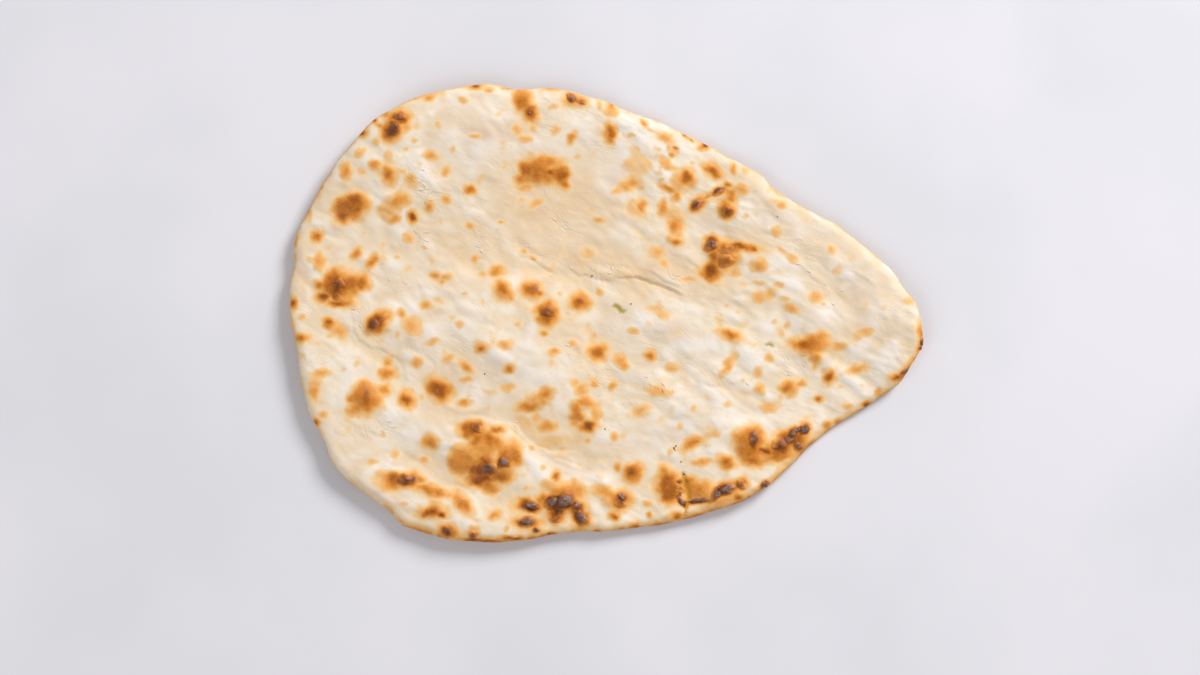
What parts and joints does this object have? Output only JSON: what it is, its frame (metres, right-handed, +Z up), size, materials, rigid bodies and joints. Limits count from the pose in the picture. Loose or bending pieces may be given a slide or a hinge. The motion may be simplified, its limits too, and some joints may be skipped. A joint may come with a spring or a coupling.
{
  "type": "naan bread",
  "caption": "Large teardrop-shaped leavened flatbread, thin and softly folded, with browned and charred blisters over a pale crust.",
  "frame": {"origin": "on the surface that the bread lies on, below the middle of its box", "axes": "+X from the broad end towards the tip, +Y across the bread towards its lifted far corner, +Z up"},
  "size_m": [0.316, 0.229, 0.0153],
  "materials": {
    "crust": "soft matte baked dough, pale cream with orange-brown toasted blisters and a little char"
  },
  "bodies": {
    "root": {"naan": "crust"}
  },
  "joints": []
}
